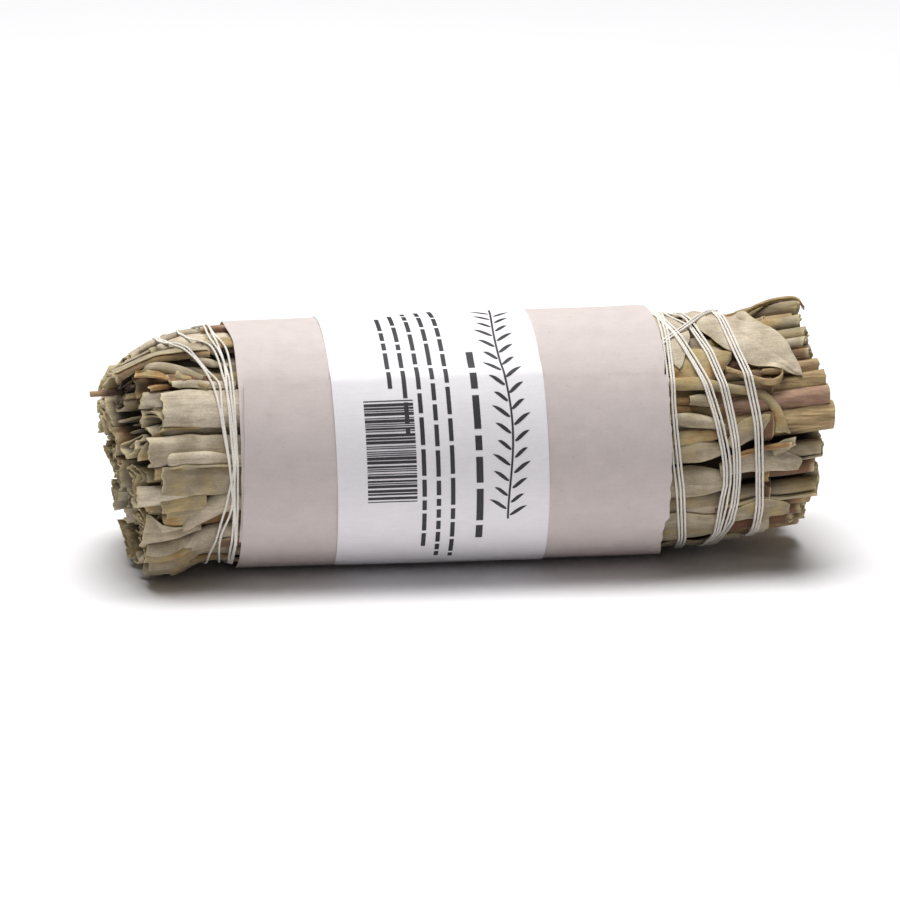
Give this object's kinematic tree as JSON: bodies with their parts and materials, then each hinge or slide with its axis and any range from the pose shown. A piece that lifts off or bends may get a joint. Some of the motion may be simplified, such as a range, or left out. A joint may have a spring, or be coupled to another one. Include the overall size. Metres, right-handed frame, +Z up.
{
  "type": "sage smudge stick",
  "caption": "Bundle of dried white sage stems and leaves, tied with cotton thread and held in a paper band with a pasted label, lying on its side.",
  "frame": {"origin": "middle of the paper band's flat underside", "axes": "+X along the bundle towards its end of cut stems, +Z up, and the side with the band's free edge faces -Y"},
  "size_m": [0.1574, 0.056, 0.0554],
  "materials": {
    "pale_leaf": "pale felted dry sage leaf",
    "grey_leaf": "grey-green felted dry sage leaf",
    "green_leaf": "yellow-green dry sage leaf",
    "brown_leaf": "brown dry leaf and cut woody stem",
    "cotton": "off-white twisted cotton thread",
    "kraft_paper": "pale grey-brown matt paper with short fibres",
    "label_paper": "smooth white label paper with plain grey print"
  },
  "bodies": {
    "root": {"leafy_stem_outer_01": "pale_leaf", "leafy_stem_outer_02": "grey_leaf", "leafy_stem_outer_03": "green_leaf", "leafy_stem_outer_04": "brown_leaf", "leafy_stem_outer_05": "pale_leaf", "leafy_stem_outer_06": "grey_leaf", "leafy_stem_outer_07": "green_leaf", "leafy_stem_outer_08": "brown_leaf", "leafy_stem_outer_09": "pale_leaf", "leafy_stem_outer_10": "grey_leaf", "leafy_stem_outer_11": "green_leaf", "leafy_stem_outer_12": "brown_leaf", "leafy_stem_outer_13": "pale_leaf", "leafy_stem_middle_01": "grey_leaf", "leafy_stem_middle_02": "green_leaf", "leafy_stem_middle_03": "brown_leaf", "leafy_stem_middle_04": "pale_leaf", "leafy_stem_middle_05": "grey_leaf", "leafy_stem_middle_06": "green_leaf", "leafy_stem_middle_07": "brown_leaf", "leafy_stem_inner_01": "green_leaf", "leafy_stem_inner_02": "brown_leaf", "leafy_stem_inner_03": "pale_leaf", "outer_leaf_left_01": "pale_leaf", "outer_leaf_left_02": "grey_leaf", "outer_leaf_left_03": "green_leaf", "outer_leaf_left_04": "pale_leaf", "outer_leaf_left_05": "grey_leaf", "outer_leaf_left_06": "green_leaf", "outer_leaf_left_07": "pale_leaf", "outer_leaf_left_08": "grey_leaf", "outer_leaf_left_09": "green_leaf", "outer_leaf_left_10": "pale_leaf", "outer_leaf_left_11": "grey_leaf", "outer_leaf_left_12": "green_leaf", "outer_leaf_left_13": "pale_leaf", "outer_leaf_right_01": "grey_leaf", "outer_leaf_right_02": "brown_leaf", "outer_leaf_right_03": "grey_leaf", "outer_leaf_right_04": "brown_leaf", "outer_leaf_right_05": "grey_leaf", "outer_leaf_right_06": "brown_leaf", "outer_leaf_right_07": "grey_leaf", "outer_leaf_right_08": "brown_leaf", "outer_leaf_right_09": "grey_leaf", "outer_leaf_right_10": "brown_leaf", "outer_leaf_right_11": "grey_leaf", "outer_leaf_right_12": "brown_leaf", "outer_leaf_right_13": "grey_leaf", "outer_leaf_right_14": "brown_leaf", "outer_leaf_right_15": "grey_leaf", "outer_leaf_right_16": "brown_leaf", "binding_thread_left": "cotton", "binding_thread_right": "cotton", "paper_band": "kraft_paper", "label": "label_paper"}
  },
  "joints": []
}
